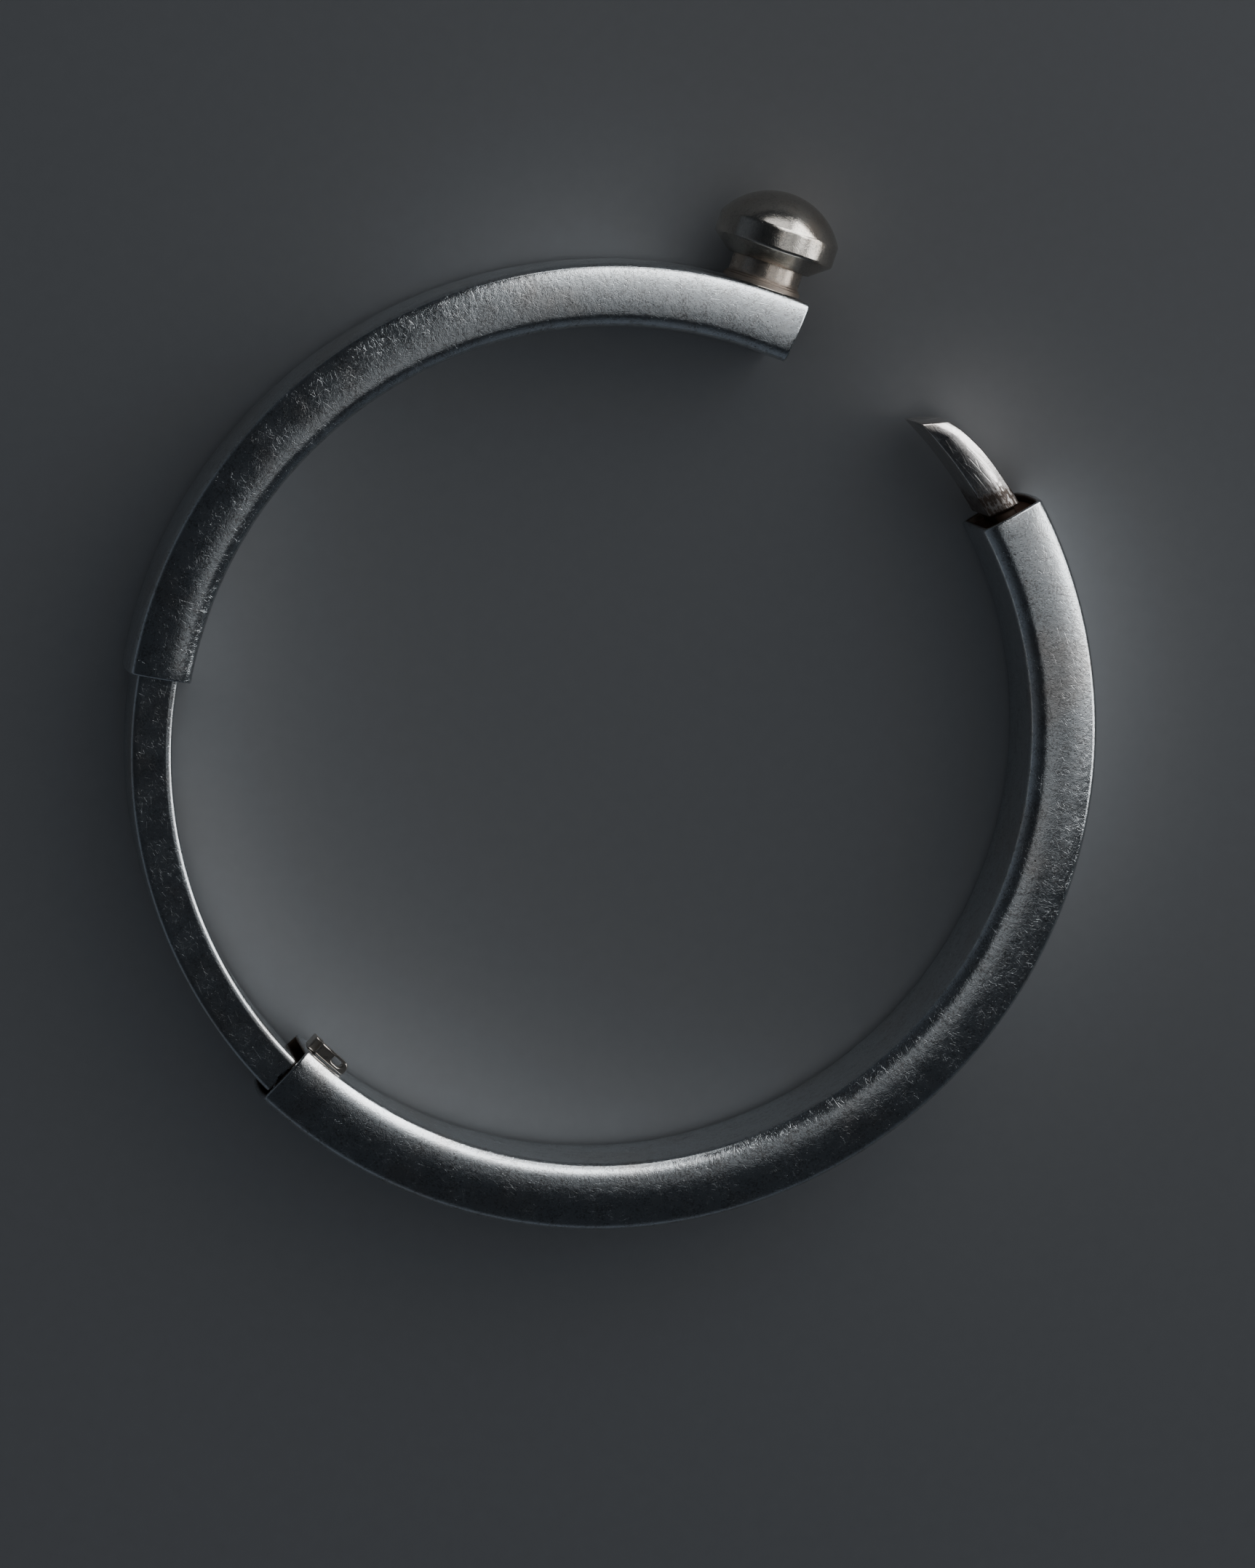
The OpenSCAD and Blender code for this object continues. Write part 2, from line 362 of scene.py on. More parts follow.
def pitted_by(g, in_mm):
    """Depth of the pits in micrometres."""
    dents = 0.0
    for scale, empty, deep in PITS:
        cells = g.node("ShaderNodeTexVoronoi", {"feature": "F1"}, {"Vector": in_mm, "Scale": scale},
                       out="Distance")
        pick, size, _ = g.split(Wire(g, cells.socket.node.outputs["Color"]))
        dent = (SMALLEST_PIT + size * PIT_GROWS - cells).ramp(0.0, PIT_EDGE)
        dents = dent * (pick > empty) * deep + dents
    return dents


print("marks ready, with", len(PITS), "sizes of pit")

# %% [markdown]
# One function makes every silver finish. It mixes the marks into four things only: colour,
# roughness, metal and the bump that feeds the normal. Heights are in micrometres. A finish
# differs from the others in how rough it is, how deep its marks are, how warm its tarnish is,
# and where stain gathers; on the tongue the stain also holds painted shade at the mouth. The
# "depth" measure is 0 on the outside of a folded sheet and 1 inside it, where dirt stays.

# %% One silver finish
MICROMETRE = 1e-6
SCRATCH_DEPTH = 3.5  # micrometres
PIT_DARKENS = 0.11  # share for each micrometre
# This share also dulls the painted shade at the tongue's mouth.
DIRT_AND_SHADE_DULLS = 0.75  # share of the metal that full dirt hides
ROUGHER = {"places": 0.16, "fibres": 0.08, "scratches": 0.06, "dirt_and_shade": 0.3}  # what each one adds


def silver_finish(name, colour, rough, peel, scratch, cloud, stain_and_shade_of=None, stain_and_shade_colour=(0.1, 0.07, 0.05),
                  brush=0.75, brush_turns=(74.0, -70.0), layers=SCRATCH_LAYERS, grit=0.4, pitted=1.0):
    """Silver of one colour. rough is its gloss, peel the height of its skin and brush that of its
    fibres, scratch and pitted the strength of its marks, cloud that of its tarnish, grit that of
    its grey specks, and stain_and_shade_colour the colour of what stain_and_shade_of places:
    grime, and on the tongue also painted shade at the mouth."""
    material = bpy.data.materials.new(name)
    material.use_nodes = True
    g = Graph(material.node_tree)
    shader = g.tree.nodes["Principled BSDF"]
    along, across, depth = (surface_measure(g, n) for n in ("along", "across", "depth"))
    place = g.node("ShaderNodeTexCoord", out="Object")
    in_mm = g.node("ShaderNodeVectorMath", {"operation": "SCALE"}, {0: place, "Scale": IN_MM})
    noise = noise_in(g, in_mm)

    patches = noise(0.33, 3.0, 0.6).ramp(0.42, 0.6)
    fibre = brushed(g, along, across, brush_turns, patches, noise)
    marks = scratched(g, along, across, layers, noise)
    skin_height = noise(2.6, 1.0, 0.5) * 1.4 + noise(12.0, 2.0, 0.6) * 0.8
    dents = pitted_by(g, in_mm) * ((0.65 + patches * 0.35) * pitted)
    specks = (noise(7.0, 2.0, 0.65) * 0.65 + noise(1.3, 2.0, 0.6) * 0.35).ramp(0.5, 0.62)
    clouds = noise(0.16, 3.0, 0.55).ramp(0.48, 0.72) * 0.75 + noise(0.9, 3.0, 0.6).ramp(0.5, 0.75) * 0.25
    # Dirt inside the fold, joined with the stain function's mask, which for the tongue also holds painted
    # shade at the mouth.
    dirt_and_shade = depth.ramp(0.3, 0.9)
    if stain_and_shade_of:
        dirt_and_shade = dirt_and_shade.maths("MAXIMUM", stain_and_shade_of(g, along, across, noise))

    metal = mix_colour(g, clouds * cloud, (*colour, 1.0), TARNISH)
    metal = mix_colour(g, dents * PIT_DARKENS, metal, PIT_DIRT)
    metal = mix_colour(g, specks * grit, metal, SPECK_GREY)
    metal = mix_colour(g, dirt_and_shade, metal, (*stain_and_shade_colour, 1.0))
    roughness = rough + (noise(0.7, 4.0, 0.6) - 0.5) * ROUGHER["places"] + (fibre - 0.5) * ROUGHER["fibres"]
    roughness = roughness + marks * (ROUGHER["scratches"] * scratch) + dirt_and_shade * ROUGHER["dirt_and_shade"]
    height = skin_height * peel + fibre * brush - marks * (SCRATCH_DEPTH * scratch) - dents
    bump = g.node("ShaderNodeBump", None,
                  {"Strength": 1.0, "Distance": MICROMETRE, "Height": height}, out="Normal")
    g.feed(metal, shader, "Base Color")
    g.feed(roughness.maths("MINIMUM", 0.9), shader, "Roughness")
    g.feed(1 - dirt_and_shade * DIRT_AND_SHADE_DULLS, shader, "Metallic")
    g.feed(bump, shader, "Normal")
    return material


print("silver_finish is ready")

# %% [markdown]
# Dirt gathers where a cloth doesn't reach. Each stain is a function of the two measures and a
# noise, which frays its edge. The file's grooves at the foot of the tongue hold it in streaks.
# The tongue's function also paints shade: the blade is dark where it leaves the mouth, as the
# gap between blade and mouth would be in shade.

# %% Stains, and painted shade at the tongue's mouth
def root_stain_and_gap_shade(g, along, across, noise):
    """Brown tarnish that gathers at the foot of the tongue and breaks up towards its tip, and
    painted shade: the blade is dark from inside the mouth to 0.32 mm out of it, fading by
    0.42 mm, for the shade of the gap between the blade and the mouth.
    """
    streaks = noise(1.0, 2.0, 0.7, g.join(along * 1.6, across * 8.0, 0.0))
    edge = along - 1.2 + (streaks - 0.5) * 3.6 + (noise(2.2, 3.0, 0.7) - 0.5) * 1.6
    worn = 0.42 + (1 - streaks.ramp(0.46, 0.62)) * 0.5
    # The second term is painted shade: the gap between the blade and the mouth, painted dark.
    return ((1 - edge.ramp(0.2, 1.8)) * worn).maths("MAXIMUM", 1 - along.ramp(0.32, 0.42))


def neck_stain(g, along, across, noise):
    """Warm grime under the cap and round the foot of the post."""
    edge = along + (noise(1.5, 2.0, 0.6) - 0.5) * 0.5
    return (1 - edge.ramp(0.25, 0.6)) * 0.55


def film(g, along, across, noise):
    """Thin grey film on a part that no cloth reaches."""
    return noise(1.4, 3.0, 0.6).ramp(0.3, 0.7) * 0.2 + 0.1


def crust(g, along, across, noise):
    """Oxide that covers old solder nearly everywhere."""
    return noise(2.0, 2.0, 0.6).ramp(0.2, 0.5) * 0.3 + 0.65


print("stains: root, neck, film and crust")

# %% [markdown]
# The band is satin and a little blue, the bar is smoother, the tongue is filed, the cap and the
# post are warmer from fingers and soldering, and the eye and the solder are dull.

# %% Seven finishes
SILVER = (0.752, 0.785, 0.803)
WARM_SILVER = (0.62, 0.55, 0.48)
finishes = {made.name: made for made in (
    silver_finish("satin_silver", SILVER, rough=0.185, peel=7.0, scratch=0.95, cloud=0.4, grit=0.55),
    silver_finish("bar_silver", SILVER, rough=0.2, peel=3.0, scratch=1.0, cloud=0.4, brush=0.4, pitted=0.35),
    # The tongue's stain colour also colours its painted shade at the mouth.
    silver_finish("filed_silver", (0.79, 0.77, 0.75), rough=0.2, peel=2.5, scratch=2.6, cloud=0.6,
                  stain_and_shade_of=root_stain_and_gap_shade, stain_and_shade_colour=(0.09, 0.056, 0.036), brush=9.0, brush_turns=(5.0, -9.0),
                  layers=FILE_STROKES),
    silver_finish("cap_silver", (0.63, 0.6, 0.55), rough=0.19, peel=2.5, scratch=0.6, cloud=0.9, pitted=0.6),
    silver_finish("post_silver", WARM_SILVER, rough=0.27, peel=2.0, scratch=0.4, cloud=0.6,
                  stain_and_shade_of=neck_stain, stain_and_shade_colour=(0.2, 0.15, 0.12), brush=4.0, brush_turns=(2.0, -4.0)),
    silver_finish("lug_silver", (0.62, 0.6, 0.56), rough=0.26, peel=2.0, scratch=0.5, cloud=0.4,
                  stain_and_shade_of=film, stain_and_shade_colour=(0.3, 0.27, 0.24)),
    silver_finish("solder", (0.46, 0.34, 0.26), rough=0.45, peel=12.0, scratch=0.2, cloud=0.9,
                  stain_and_shade_of=crust, stain_and_shade_colour=(0.2, 0.11, 0.075)),
)}
print("finishes:", ", ".join(finishes))

# %% [markdown]
# The tube and the sleeve are the same thing on the bench: a sheet of silver folded round a
# soft-cornered section, then bent into an arc. The nodes work in that order, and the section
# comes first. It is a rectangle with rounded corners whose faces swell a little in the middle,
# because a flat face would catch the light all at once, and whose inner edges are worn.

# %% Section of the band
LOOP_POINTS = 180
BAR_LOOP_POINTS = 96
CORNER_POINTS = 8


def position(g):
    return g.split(g.node("GeometryNodeInputPosition"))


def rounded_loop(g, thickness, width, inner_round, outer_round, points):
    """Closed rectangle whose wrist-side and outer corners have their own roundings."""
    loop = g.node("GeometryNodeCurvePrimitiveQuadrilateral", {"mode": "RECTANGLE"},
                  {"Width": thickness, "Height": width})
    x, _, _ = position(g)
    radius = outer_round + (inner_round - outer_round) * (x < 0.0)
    loop = g.node("GeometryNodeFilletCurve", {"mode": "POLY"},
                  {"Curve": loop, "Radius": radius, "Count": CORNER_POINTS})
    return g.node("GeometryNodeResampleCurve", {"mode": "COUNT"}, {"Curve": loop, "Count": points})


def crowned(g, loop, take):
    """Lets the faces and the outer wall of a section fall away towards its corners, and the
    faces once more, softly, towards the wrist."""
    x, y, _ = position(g)
    over = x / take["Thickness"] * 2
    up = y / take["Width"] * 2
    outer = over.maths("MAXIMUM", 0.0) ** 4
    bevel = 1 - ((x + take["Thickness"] / 2) / take["Bevel reach"]).maths("MINIMUM", 1.0)
    new_x = x - take["Side crown"] * up * up * outer
    new_y = y - up * (take["Face crown"] * over * over + take["Bevel fall"] * bevel * bevel)
    return g.node("GeometryNodeSetPosition", None, {"Geometry": loop, "Position": g.join(new_x, new_y, 0.0)})


def keep_measure(g, geometry, name, value):
    """Writes a measure on the points of a shape, for its finish to read."""
    return g.node("GeometryNodeStoreNamedAttribute", {"data_type": "FLOAT", "domain": "POINT"},
                  {"Geometry": geometry, "Name": name, "Value": value})


def arc_section(g, take, points):
    loop = rounded_loop(g, take["Thickness"], take["Width"], take["Inner rounding"],
                        take["Outer rounding"], points)
    loop = crowned(g, loop, take)
    reach = g.node("GeometryNodeSplineParameter", out="Length")
    return keep_measure(g, loop, "across", reach * IN_MM)


print("section of", LOOP_POINTS, "points")

# %% [markdown]
# A section becomes a straight piece when it is swept, and an arc when that piece is bent.
# Bending after the sweep keeps the measures of the surface even, as on a sheet that is bent
# over a round stake. Both trees below take the same sizes, so they share one list of inputs.

# %% Bend and finish
def bent(g, geometry, take, length):
    """Bends a straight piece that stands along z into an arc about the z axis."""
    x, y, z = position(g)
    radius = take["Inner radius"] + take["Thickness"] / 2 + x
    angle = take["Start"] + take["Span"] * (z / length + 0.5)
    place = g.join(radius * angle.maths("COSINE") + take["Centre x"],
                   radius * angle.maths("SINE") + take["Centre y"], y + take["Middle height"])
    return g.node("GeometryNodeSetPosition", None, {"Geometry": geometry, "Position": place})


def finish_tree(g, mesh, take):
    """Turns the faces outwards, because the bend mirrors the piece, and gives the material."""
    mesh = g.node("GeometryNodeFlipFaces", None, {"Mesh": mesh})
    mesh = g.node("GeometryNodeSetShadeSmooth", None, {"Geometry": mesh, "Shade Smooth": True})
    mesh = g.node("GeometryNodeSetMaterial", None, {"Geometry": mesh, "Material": take["Material"]})
    sink = g.tree.nodes.new("NodeGroupOutput")
    g.feed(mesh, sink, "Geometry")
    return g.tree


ARC_SIZES = ("Inner radius", "Thickness", "Width", "Inner rounding", "Outer rounding", "Face crown",
             "Side crown", "Bevel fall", "Bevel reach", "Start", "Span", "Centre x", "Centre y",
             "Middle height")
ARC_INPUTS = {**dict.fromkeys(ARC_SIZES, "Float"), "Steps": "Int", "Material": "Material"}
print(len(ARC_INPUTS), "inputs for an arc")

# %% [markdown]
# The folded tree sweeps the cut edge of the sheet, a thin strip with rounded lips, round the
# section, which gives a hollow piece with an even wall. The solid tree sweeps the section
# itself along a line and closes both ends.

# %% Folded and solid arcs
LIP_POINTS = 5
LONG_SIDE = 0.49  # share of the sheet; points further out are on its two long sides


def make_folded_arc():
    g, take = new_tree("folded_arc", "GeometryNodeTree", {**ARC_INPUTS, "Sheet": "Float", "Lip": "Float"},
                       {"Geometry": "Geometry"})
    length = take["Span"] * (take["Inner radius"] + take["Thickness"] / 2)
    sheet = take["Sheet"]
    x, y, _ = position(g)
    strip = g.node("GeometryNodeCurvePrimitiveQuadrilateral", {"mode": "RECTANGLE"},
                   {"Width": sheet, "Height": length})
    strip = g.node("GeometryNodeFilletCurve", {"mode": "POLY"},
                   {"Curve": strip, "Radius": take["Lip"], "Count": LIP_POINTS})
    long_side = (abs(x) > sheet * LONG_SIDE) * (x * y < 0.0)
    strip = g.node("GeometryNodeSubdivideCurve", None, {"Curve": strip, "Cuts": take["Steps"] * long_side})
    strip = keep_measure(g, strip, "depth", 0.5 - x / sheet)
    strip = keep_measure(g, strip, "along", (y + length / 2) * IN_MM)
    strip = g.node("GeometryNodeSetPosition", None,
                   {"Geometry": strip, "Offset": g.join(sheet * -0.5, 0.0, 0.0)})
    loop = g.node("GeometryNodeSetCurveNormal", {"mode": "Z_UP"},
                  {"Curve": arc_section(g, take, LOOP_POINTS)})
    mesh = g.node("GeometryNodeCurveToMesh", None, {"Curve": loop, "Profile Curve": strip})
    return finish_tree(g, bent(g, mesh, take, length), take)


def make_solid_arc():
    g, take = new_tree("solid_arc", "GeometryNodeTree", ARC_INPUTS, {"Geometry": "Geometry"})
    length = take["Span"] * (take["Inner radius"] + take["Thickness"] / 2)
    line = g.node("GeometryNodeCurvePrimitiveLine", {"mode": "POINTS"},
                  {"Start": g.join(0.0, 0.0, length * -0.5), "End": g.join(0.0, 0.0, length * 0.5)})
    line = g.node("GeometryNodeResampleCurve", {"mode": "COUNT"}, {"Curve": line, "Count": take["Steps"]})
    _, _, z = position(g)
    line = keep_measure(g, line, "along", (z + length / 2) * IN_MM)
    mesh = g.node("GeometryNodeCurveToMesh", None,
                  {"Curve": line, "Profile Curve": arc_section(g, take, BAR_LOOP_POINTS), "Fill Caps": True})
    return finish_tree(g, bent(g, mesh, take, length), take)


folded_arc = make_folded_arc()
solid_arc = make_solid_arc()
print("trees:", len(folded_arc.nodes), "and", len(solid_arc.nodes), "nodes")

# %% [markdown]
# A tree only makes a shape when a modifier runs it. This helper sets the modifier's inputs by
# their labels, takes the result as a plain mesh and removes the modifier, so that ordinary
# geometry is left. The tube and the sleeve come out of one tree with different sizes, and the
# tube's inner edges are worn a little further.

# %% Tube and sleeve
LIP = 0.16
TUBE_STEPS = 110
SLEEVE_STEPS = 72
ON_ARM = {"Centre x": ARM_AT[0], "Centre y": ARM_AT[1]}
BAND = {"Width": BAND_W, "Inner rounding": INNER_ROUND, "Outer rounding": OUTER_ROUND,
        "Face crown": FACE_CROWN, "Side crown": SIDE_CROWN, "Sheet": SHEET_T, "Lip": LIP}


def grown(name, tree, finish, steps, start_a, span_a, in_mm):
    """Piece that a tree makes. Any size that in_mm leaves out is 0."""
    values = {label: size * MM for label, size in in_mm.items()}
    values.update({"Start": math.radians(start_a), "Span": math.radians(span_a), "Steps": steps,
                   "Middle height": MID_Z * MM, "Material": finish})
    piece = placed(name, bpy.data.meshes.new(name))
    modifier = piece.modifiers.new("grow", "NODES")
    modifier.node_group = tree
    for item in tree.interface.items_tree:
        if item.in_out == "INPUT":
            modifier[item.identifier] = values.get(item.name, 0.0)
    graph = bpy.context.evaluated_depsgraph_get()
    mesh = bpy.data.meshes.new_from_object(piece.evaluated_get(graph), preserve_all_data_layers=True,
                                           depsgraph=graph)
    piece.modifiers.remove(modifier)
    piece.data = mesh
    mesh.name = name
    print(name, len(mesh.vertices), "vertices")
    return piece


tube = grown("folded_tube", folded_arc, finishes["satin_silver"], TUBE_STEPS,
             HINGE_END_A, MOUTH_A - HINGE_END_A,
             {**BAND, "Inner radius": TUBE_R, "Thickness": TUBE_T,
              "Bevel fall": TUBE_BEVEL_FALL, "Bevel reach": TUBE_BEVEL_REACH})
sleeve = grown("folded_sleeve", folded_arc, finishes["satin_silver"], SLEEVE_STEPS, SLEEVE_FROM, SLEEVE_SPAN,
               {**BAND, **ON_ARM, "Inner radius": SLEEVE_R, "Thickness": SLEEVE_T,
                "Bevel fall": BEVEL_FALL, "Bevel reach": BEVEL_REACH})

# %% [markdown]
# No edge on the bangle is sharp, so one helper rounds the corners of any outline or profile. It
# keeps a point close to both ends of each rounding, which holds the flats between them flat.

# %% Round corners
def eased(corners, steps=7, hold=0.03):
    """Closed line with each corner (x, y, rounding) rounded off."""
    points = []
    count = len(corners)
    for i, (x, y, rounding) in enumerate(corners):
        here = np.array((x, y))
        if rounding <= 0:
            points.append(here)
            continue
        before = np.array(corners[i - 1][:2]) - here
        after = np.array(corners[(i + 1) % count][:2]) - here
        before /= np.linalg.norm(before)
        after /= np.linalg.norm(after)
        half = math.acos(float(np.clip(before @ after, -1, 1))) / 2
        reach = rounding / math.tan(half)
        middle = here + (before + after) / np.linalg.norm(before + after) * rounding / math.sin(half)
        first, last = here + before * reach - middle, here + after * reach - middle
        swing = math.pi - 2 * half
        points.append(middle + first + before * hold)
        for k in range(steps + 1):
            t = k / steps
            mixed = (math.sin((1 - t) * swing) * first + math.sin(t * swing) * last) / math.sin(swing)
            points.append(middle + mixed)
        points.append(middle + last + after * hold)
    return np.array(points)


print("eased is ready")

# %% [markdown]
# The tongue, the post, the button and the eye at the bar's end are solid. skin() closes a
# surface over rows of points. For what a lathe makes, turned() takes a profile of radius and
# height once round an axis and hands its rows to skin().

# %% Skin and turn
def measured(mesh, along, across):
    for label, values in (("along", along), ("across", across)):
        mesh.attributes.new(label, "FLOAT", "POINT").data.foreach_set("value", np.ravel(values))


def cleaned(mesh, distance):
    """Joins points that lie together and turns every face outwards."""
    shell = bmesh.new()
    shell.from_mesh(mesh)
    bmesh.ops.remove_doubles(shell, verts=shell.verts, dist=distance)
    bmesh.ops.recalc_face_normals(shell, faces=shell.faces)
    shell.to_mesh(mesh)
    shell.free()


def as_piece(name, mesh, material):
    mesh.materials.append(material)
    print(name, len(mesh.vertices), "vertices")
    return placed(name, mesh)


def skin(name, rows, along, across, material, wrap=False):
    """Closed surface over rows of points in mm; wrap joins the last row to the first."""
    count, width = rows.shape[:2]
    mesh = bpy.data.meshes.new(name)
    faces = []
    for i in range(count if wrap else count - 1):
        upper = (i + 1) % count
        for j in range(width):
            k = (j + 1) % width
            faces.append((i * width + j, i * width + k, upper * width + k, upper * width + j))
    if not wrap:
        faces.append(tuple(range(width - 1, -1, -1)))
        faces.append(tuple(range((count - 1) * width, count * width)))
    mesh.from_pydata((rows.reshape(-1, 3) * MM).tolist(), [], faces)
    measured(mesh, along, across)
    cleaned(mesh, 1e-8)
    mesh.polygons.foreach_set("use_smooth", [True] * len(mesh.polygons))
    return as_piece(name, mesh, material)


def turned(name, profile, material, place, ring=False, sides=144):
    """Turns a profile of (radius, height) round the z axis of place, a matrix in mm."""
    angles = np.linspace(0, 2 * math.pi, sides, endpoint=False)
    radius, height = profile[:, 0:1], profile[:, 1:2]
    rows = np.stack([radius * np.cos(angles), radius * np.sin(angles), height + 0 * angles], axis=-1)
    if ring:
        along, across = height + 0 * angles, radius.max() * angles + 0 * height
    else:
        step = np.linalg.norm(np.diff(profile[::-1], axis=0), axis=1)
        from_top = np.concatenate([[0.0], np.cumsum(step)])[::-1, None]
        along, across = from_top * np.cos(angles), from_top * np.sin(angles)
    turn = np.array(place)
    rows = rows @ turn[:3, :3].T + turn[:3, 3]
    return skin(name, rows, along, across, material, wrap=ring)


print("skin and turned are ready")

# %% [markdown]
# The bar is the arm that the bangle opens on: a strip thinner than the band, with filed edges
# next to the wrist, so one rounded section is swept and bent with closed ends. At the hinge it
# ends inside a round eye for the pin, which is turned.

# %% Bar and hinge eye
PIN_BORE_R = 0.65
BAR_STOPS_SHORT = 1.0  # of the pin's axis, inside the eye
BAR_OUTER_ROUND = 0.25
BAR_STEPS = 120
BORE_ROUND = 0.1
EYE_ROUND = 0.2
pin_direction = math.radians(PIN_A)
pin_at = Vector((ARM_AT[0] + BAR_MID_R * math.cos(pin_direction),
                 ARM_AT[1] + BAR_MID_R * math.sin(pin_direction), 0))
bar_end_a = PIN_A - math.degrees(BAR_STOPS_SHORT / BAR_MID_R)
bar = grown("bar_strip", solid_arc, finishes["bar_silver"], BAR_STEPS, BAR_FROM, bar_end_a - BAR_FROM,
            {**ON_ARM, "Inner radius": BAR_MID_R - BAR_T / 2, "Thickness": BAR_T, "Width": BAR_W,
             "Inner rounding": BAR_ROUND, "Outer rounding": BAR_OUTER_ROUND})
bar_low = MID_Z - BAR_W / 2
bar_high = bar_low + BAR_W
hinge_eye = turned("hinge_eye", eased([
    (PIN_BORE_R, bar_low, BORE_ROUND), (BAR_T / 2, bar_low, EYE_ROUND),
    (BAR_T / 2, bar_high, EYE_ROUND), (PIN_BORE_R, bar_high, BORE_ROUND)]),
    finishes["bar_silver"], Matrix.Translation(pin_at), ring=True, sides=72)

# %% [markdown]
# The tongue is a blade that was filed from solid: it follows the bangle's curve, and near its
# tip the outer side slopes down to a straight cut. Two lines settle its plan: the inner one is
# part of a circle, and the outer one leaves its circle and turns into the cut round a soft
# corner. Points are packed closer near the tip, where the form changes most.

# %% Tongue's two lines
TONGUE_R = 30.6
TONGUE_W = 6.8
OUTER_LINE_R = 33.22
SLOPE_FROM = 37.0
SLOPE_RATE = 0.0091
TIP_INNER = np.array((22.12, 21.62))
TIP_ACROSS = np.array((1.0, 0.1)) / math.hypot(1.0, 0.1)
TIP_CORNER = 0.4
CORNER_FROM = 30  # points that the soft corner replaces
CORNER_STEPS = 9
CUT_STRETCH = 0.9  # of the cut that the corner turns into
ROW_COUNT = 120
PACKING = 1.5
ROOT_A = MOUTH_A - 3.2
OUTER_LAG = 1.9
LINE_SPAN = 30
INNER_POINTS, OUTER_POINTS = 600, 900
arm_centre = np.array(ARM_AT)


def on_arc(centre, radius, angle_deg):
    angle = math.radians(angle_deg)
    return centre + radius * np.array((math.cos(angle), math.sin(angle)))


def lengths(points):
    """How far along a line each of its points lies."""
    return np.concatenate([[0.0], np.cumsum(np.linalg.norm(np.diff(points, axis=0), axis=1))])


def respaced(points, count):
    """The same line with count points, closer together towards its end."""
    points = np.array(points)
    reach = lengths(points)
    at = reach[-1] * (1 - (1 - np.linspace(0, 1, count)) ** PACKING)
    return np.stack([np.interp(at, reach, points[:, k]) for k in (0, 1)], axis=-1)


def tongue_lines():
    """Inner and outer line of the blade, from inside the mouth to the straight cut."""
    behind = np.array((TIP_ACROSS[1], -TIP_ACROSS[0]))

    def before_cut(point):
        return (point - TIP_INNER) @ behind > 0

    end_a = ROOT_A + LINE_SPAN
    inner = [on_arc(np.zeros(2), TONGUE_R, a) for a in np.linspace(ROOT_A, end_a, INNER_POINTS)]
    inner = [p for p in inner if before_cut(p)]
    outer = []
    for angle in np.linspace(ROOT_A + OUTER_LAG, end_a, OUTER_POINTS):
        radius = OUTER_LINE_R - SLOPE_RATE * max(0.0, angle - SLOPE_FROM) ** 2
        outer.append(on_arc(arm_centre, radius, angle))
    outer = [p for p in outer if before_cut(p)]
    on_cut = outer[-1] - TIP_ACROSS * CUT_STRETCH
    corner = eased([(*outer[-CORNER_FROM], 0), (*outer[-1], TIP_CORNER), (*on_cut, 0)], CORNER_STEPS, 0.0)
    outer = outer[:-CORNER_FROM] + list(corner[:-1])
    return respaced(inner, ROW_COUNT), respaced(outer, ROW_COUNT)


inner_line, outer_line = tongue_lines()
from_root = lengths((inner_line + outer_line) / 2)
print("tongue", round(float(from_root[-1]), 2), "mm long")

# %% [markdown]
# Between the two lines stands a section with rounded corners, whose faces fall away towards
# both edges. The worn faces fall gently towards the wrist and more steeply towards the outer
# edge, where the blade rubs along the inside of the sleeve.

# %% Section of the tongue
INNER_CORNER = 0.12
OUTER_CORNER = 0.14
LONG_FACE = 0.5  # shorter stretches of a section belong to its corners
FACE_POINTS = 24
INNER_FALL = 0.34
INNER_FALL_TO = 1.9
OUTER_FALL = 0.42
OUTER_FALL_FROM = 1.3


def filled_in(loop, extra):
    """Adds points along the two long faces of a section, which run from low to high u."""
    points = []
    for here, there in zip(loop, np.roll(loop, -1, axis=0)):
        points.append(here)
        if abs(there[0] - here[0]) > LONG_FACE:
            points += [here + (there - here) * k / extra for k in range(1, extra)]
    return np.array(points)


def tongue_section(a, b, inset, fall, inner_fall, steps=6):
    """Section of the blade from its inner line a to its outer line b."""
    across = (b - a) / np.linalg.norm(b - a)
    width = np.linalg.norm(b - a) - inset
    low, high = MID_Z - TONGUE_W / 2 + inset + fall, MID_Z + TONGUE_W / 2 - inset - fall
    flat = eased([(inset, low, INNER_CORNER), (width, low, OUTER_CORNER),
                  (width, high, OUTER_CORNER), (inset, high, INNER_CORNER)], steps)
    flat = filled_in(flat, FACE_POINTS)
    inward = np.clip(1 - flat[:, 0] / INNER_FALL_TO, 0, 1)
    outward = np.clip((flat[:, 0] - width + OUTER_FALL_FROM) / OUTER_FALL_FROM, 0, 1)
    flat[:, 1] -= np.sign(flat[:, 1] - MID_Z) * (inner_fall * inward ** 2 + OUTER_FALL * outward ** 2)
    return np.array([(*(a + across * u), z) for u, z in flat])


print("section of the tongue", TONGUE_W, "mm high")

# %% [markdown]
# A loft through many sections gives each place its own form: narrower at the neck, where the
# blade was filed to enter the tube, and lower at the tip. Its root fills the tube behind the
# mouth, dark with solder.

# %% Tongue and root plug
TIP_EASE = 0.2
TIP_FALL = 0.16
TIP_FALL_FROM = 1.6
NECK_END = 0.44  # from the mouth
NECK_INSET = 0.42
NECK_RISE = 0.14
TONGUE_MID_R = 32.0
MOUTH_REACH = math.radians(MOUTH_A - ROOT_A) * TONGUE_MID_R

